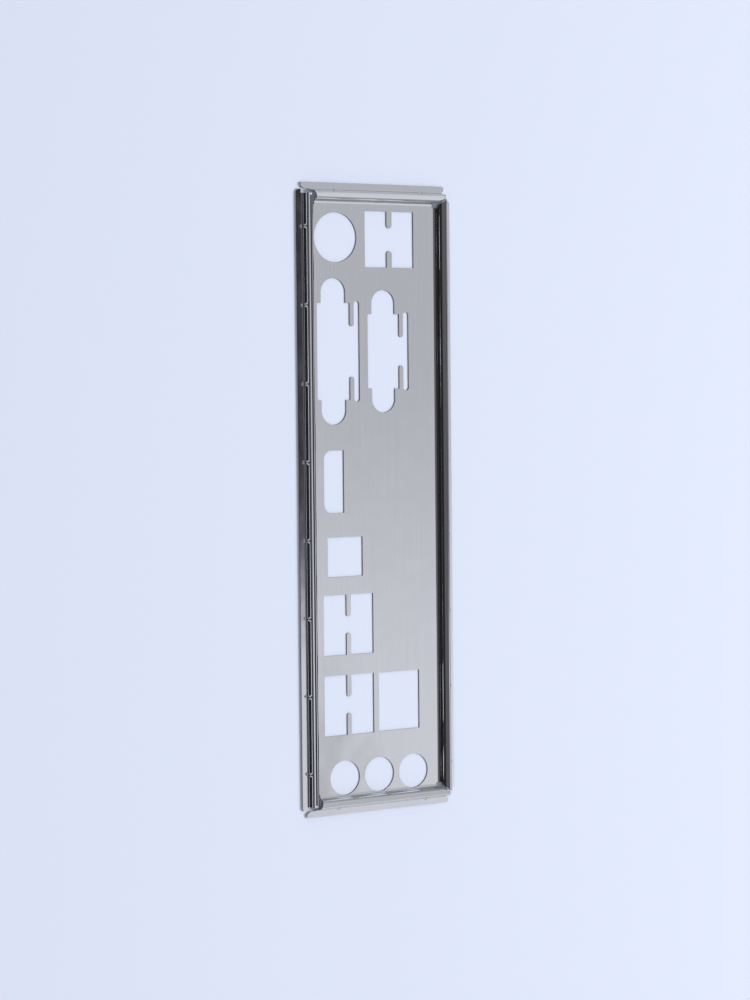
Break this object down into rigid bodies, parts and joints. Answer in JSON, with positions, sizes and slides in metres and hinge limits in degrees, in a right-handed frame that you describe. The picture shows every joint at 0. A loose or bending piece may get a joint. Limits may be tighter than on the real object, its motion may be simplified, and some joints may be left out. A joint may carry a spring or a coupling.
{
  "type": "motherboard io shield",
  "caption": "Thin folded metal plate with cut-outs for a computer's rear ports, a raised rim and a narrow outer flange with snap dimples.",
  "frame": {"origin": "centre of the shield's outline, at the back face of the panel that it rests on", "axes": "+X along the length towards the sound jacks, +Y across towards the long side away from the circuit board, +Z out of the case"},
  "size_m": [0.1624, 0.047, 0.0027],
  "materials": {
    "bright_steel": "bright rolled steel sheet, lightly satin"
  },
  "bodies": {
    "root": {"io_shield": "bright_steel"}
  },
  "joints": []
}
